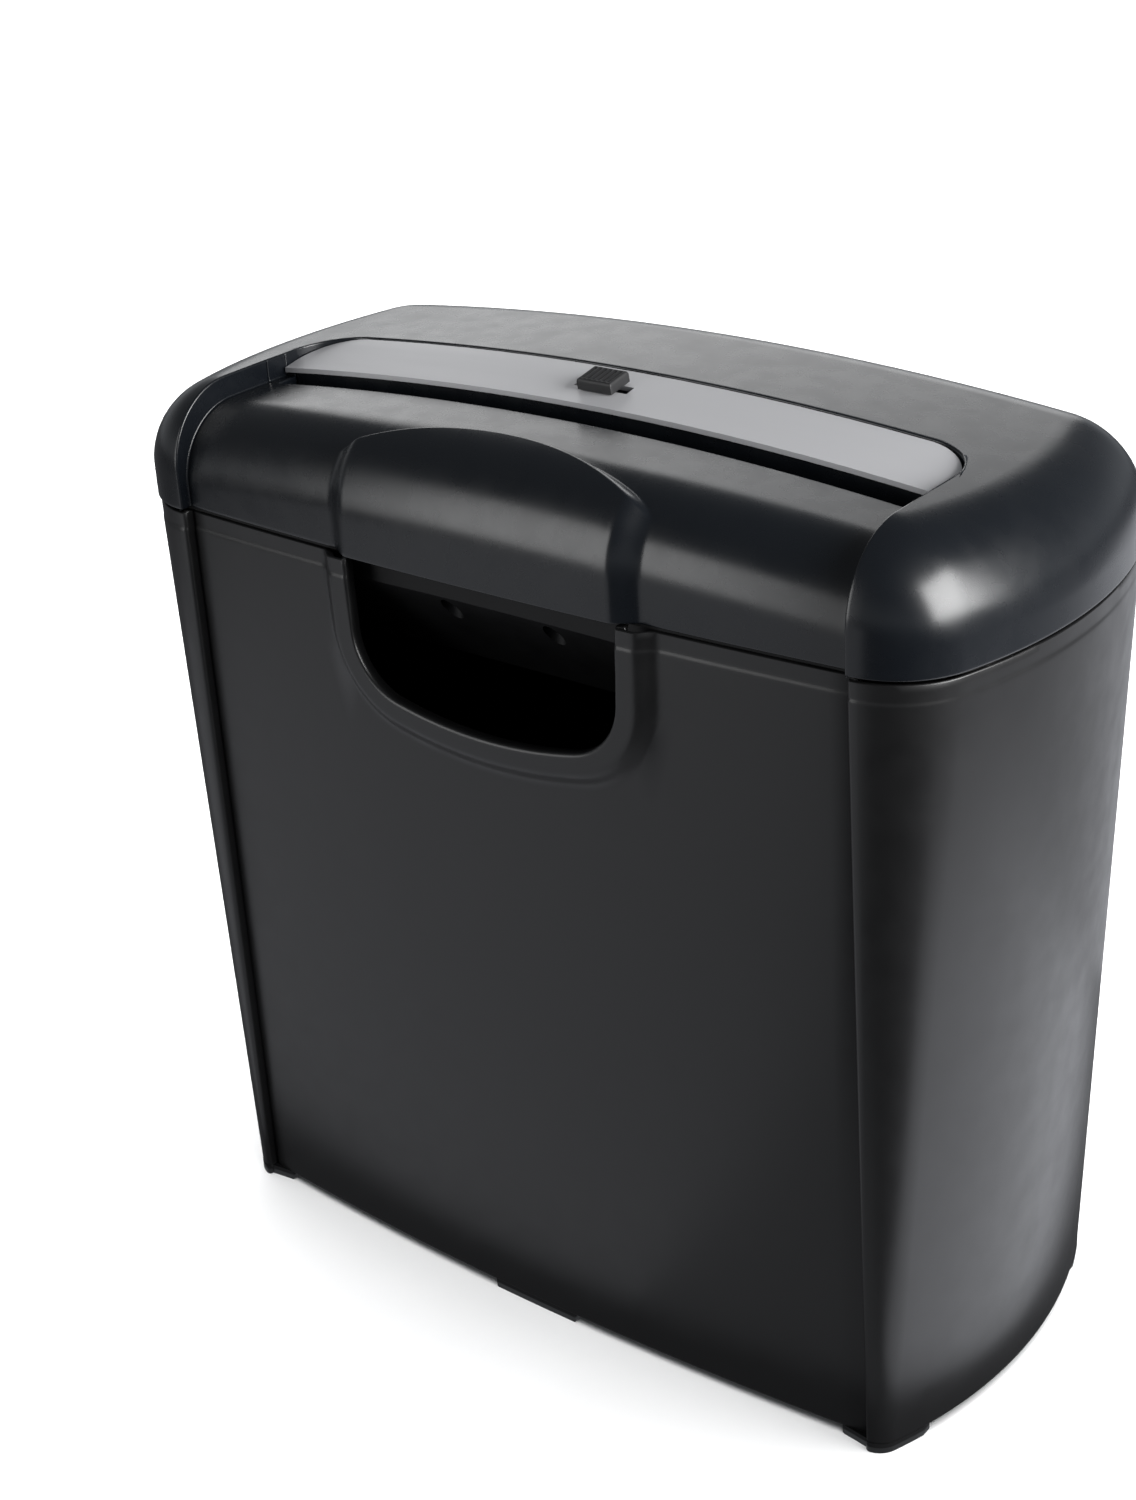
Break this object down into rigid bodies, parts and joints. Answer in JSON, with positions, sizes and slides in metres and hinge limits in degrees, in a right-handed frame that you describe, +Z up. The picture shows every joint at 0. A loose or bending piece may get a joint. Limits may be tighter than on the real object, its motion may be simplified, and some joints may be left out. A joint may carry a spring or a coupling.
{
  "type": "paper shredder",
  "caption": "Strip-cut paper shredder: a loaf-shaped motor head with a paper slot rests on a tapered, D-ended waste basket with a hand hole at the rim.",
  "frame": {"origin": "on the floor, under the middle of the basket", "axes": "+X to the right seen from the front, the front with the hand hole faces -Y, +Z up"},
  "size_m": [0.2994, 0.1399, 0.2935],
  "materials": {
    "basket_black": "fine moulded texture, satin",
    "cover_black": "satin gloss",
    "housing_black": "matt moulded",
    "plate_silver": "silver satin",
    "knob_black": "ribbed matt",
    "sheet_steel": "zinc plated",
    "cutter_steel": "ground and oiled",
    "motor_steel": "drawn can",
    "ferrite": "sintered",
    "bronze": "sintered bronze",
    "gear_nylon": "natural nylon",
    "comb_plastic": "matt moulded",
    "board_green": "solder mask",
    "relay_blue": "moulded case",
    "capacitor_sleeve": "shrunk sleeve",
    "terminal_green": "moulded",
    "gland_rubber": "moulded",
    "lead_red": "insulated wire"
  },
  "bodies": {
    "basket": {"waste_basket": "basket_black"},
    "head": {"head_cover": "cover_black", "control_plate": "plate_silver", "lower_housing": "housing_black", "housing_screws": "sheet_steel", "throat_guide": "comb_plastic", "auto_start_switch": "comb_plastic", "mode_switch_body": "comb_plastic", "control_board": "board_green", "board_screws": "sheet_steel", "relay": "relay_blue", "filter_capacitor": "capacitor_sleeve", "terminal_block": "terminal_green", "motor_leads": "lead_red", "thermal_cutout": "sheet_steel", "cord_gland": "gland_rubber", "left_side_plate": "sheet_steel", "right_side_plate": "sheet_steel", "shaft_bushes": "bronze", "tie_rods": "sheet_steel", "tie_rod_nuts": "sheet_steel", "front_stripper_comb": "comb_plastic", "rear_stripper_comb": "comb_plastic", "intermediate_axle": "sheet_steel", "intermediate_clip": "sheet_steel", "motor_can": "motor_steel", "motor_front_cap": "motor_steel", "motor_rear_cap": "comb_plastic", "motor_magnets": "ferrite", "motor_screws": "sheet_steel"},
    "rear_cutter": {"rear_cutter_shaft": "cutter_steel", "rear_cutter_discs": "cutter_steel", "rear_cutter_spacers": "comb_plastic", "rear_sync_gear": "gear_nylon", "drive_gear": "gear_nylon", "rear_shaft_clips": "sheet_steel"},
    "front_cutter": {"front_cutter_shaft": "cutter_steel", "front_cutter_discs": "cutter_steel", "front_cutter_spacers": "comb_plastic", "front_sync_gear": "gear_nylon", "front_shaft_clips": "sheet_steel"},
    "intermediate": {"intermediate_gear": "gear_nylon"},
    "rotor": {"motor_shaft": "sheet_steel", "motor_armature": "motor_steel", "motor_pinion": "bronze"},
    "mode_knob": {"mode_switch_knob": "knob_black"},
    "sensor_lever": {"paper_sensor_lever": "comb_plastic"}
  },
  "joints": [
    {"name": "head_lift", "type": "slide", "parent": "basket", "child": "head", "axis": [0, 0, 1], "range_m": [0, 0.12]},
    {"name": "rear_cutter_spin", "type": "hinge", "parent": "head", "child": "rear_cutter", "pos_m": [0, -0.007, 0.24], "axis": [1, 0, 0], "continuous": true},
    {"name": "front_cutter_spin", "type": "hinge", "parent": "head", "child": "front_cutter", "pos_m": [0, -0.034, 0.24], "axis": [1, 0, 0], "continuous": true},
    {"name": "intermediate_spin", "type": "hinge", "parent": "head", "child": "intermediate", "pos_m": [0, 0.01623, 0.25898], "axis": [1, 0, 0], "continuous": true},
    {"name": "rotor_spin", "type": "hinge", "parent": "head", "child": "rotor", "pos_m": [0, 0.034, 0.246], "axis": [1, 0, 0], "continuous": true},
    {"name": "mode_switch_slide", "type": "slide", "parent": "head", "child": "mode_knob", "axis": [1, 0, 0], "range_m": [-0.006, 0.006]},
    {"name": "sensor_lever_swing", "type": "hinge", "parent": "head", "child": "sensor_lever", "pos_m": [0, -0.011, 0.2644], "axis": [1, 0, 0], "range_deg": [0, 30], "stiffness_Nm_per_rad": 0.002, "springref_deg": -17.19}
  ],
  "couplings": [
    {"joint": "front_cutter_spin", "follows": "rear_cutter_spin", "ratio": -1},
    {"joint": "intermediate_spin", "follows": "rear_cutter_spin", "ratio": -3},
    {"joint": "rotor_spin", "follows": "rear_cutter_spin", "ratio": 10.2}
  ]
}
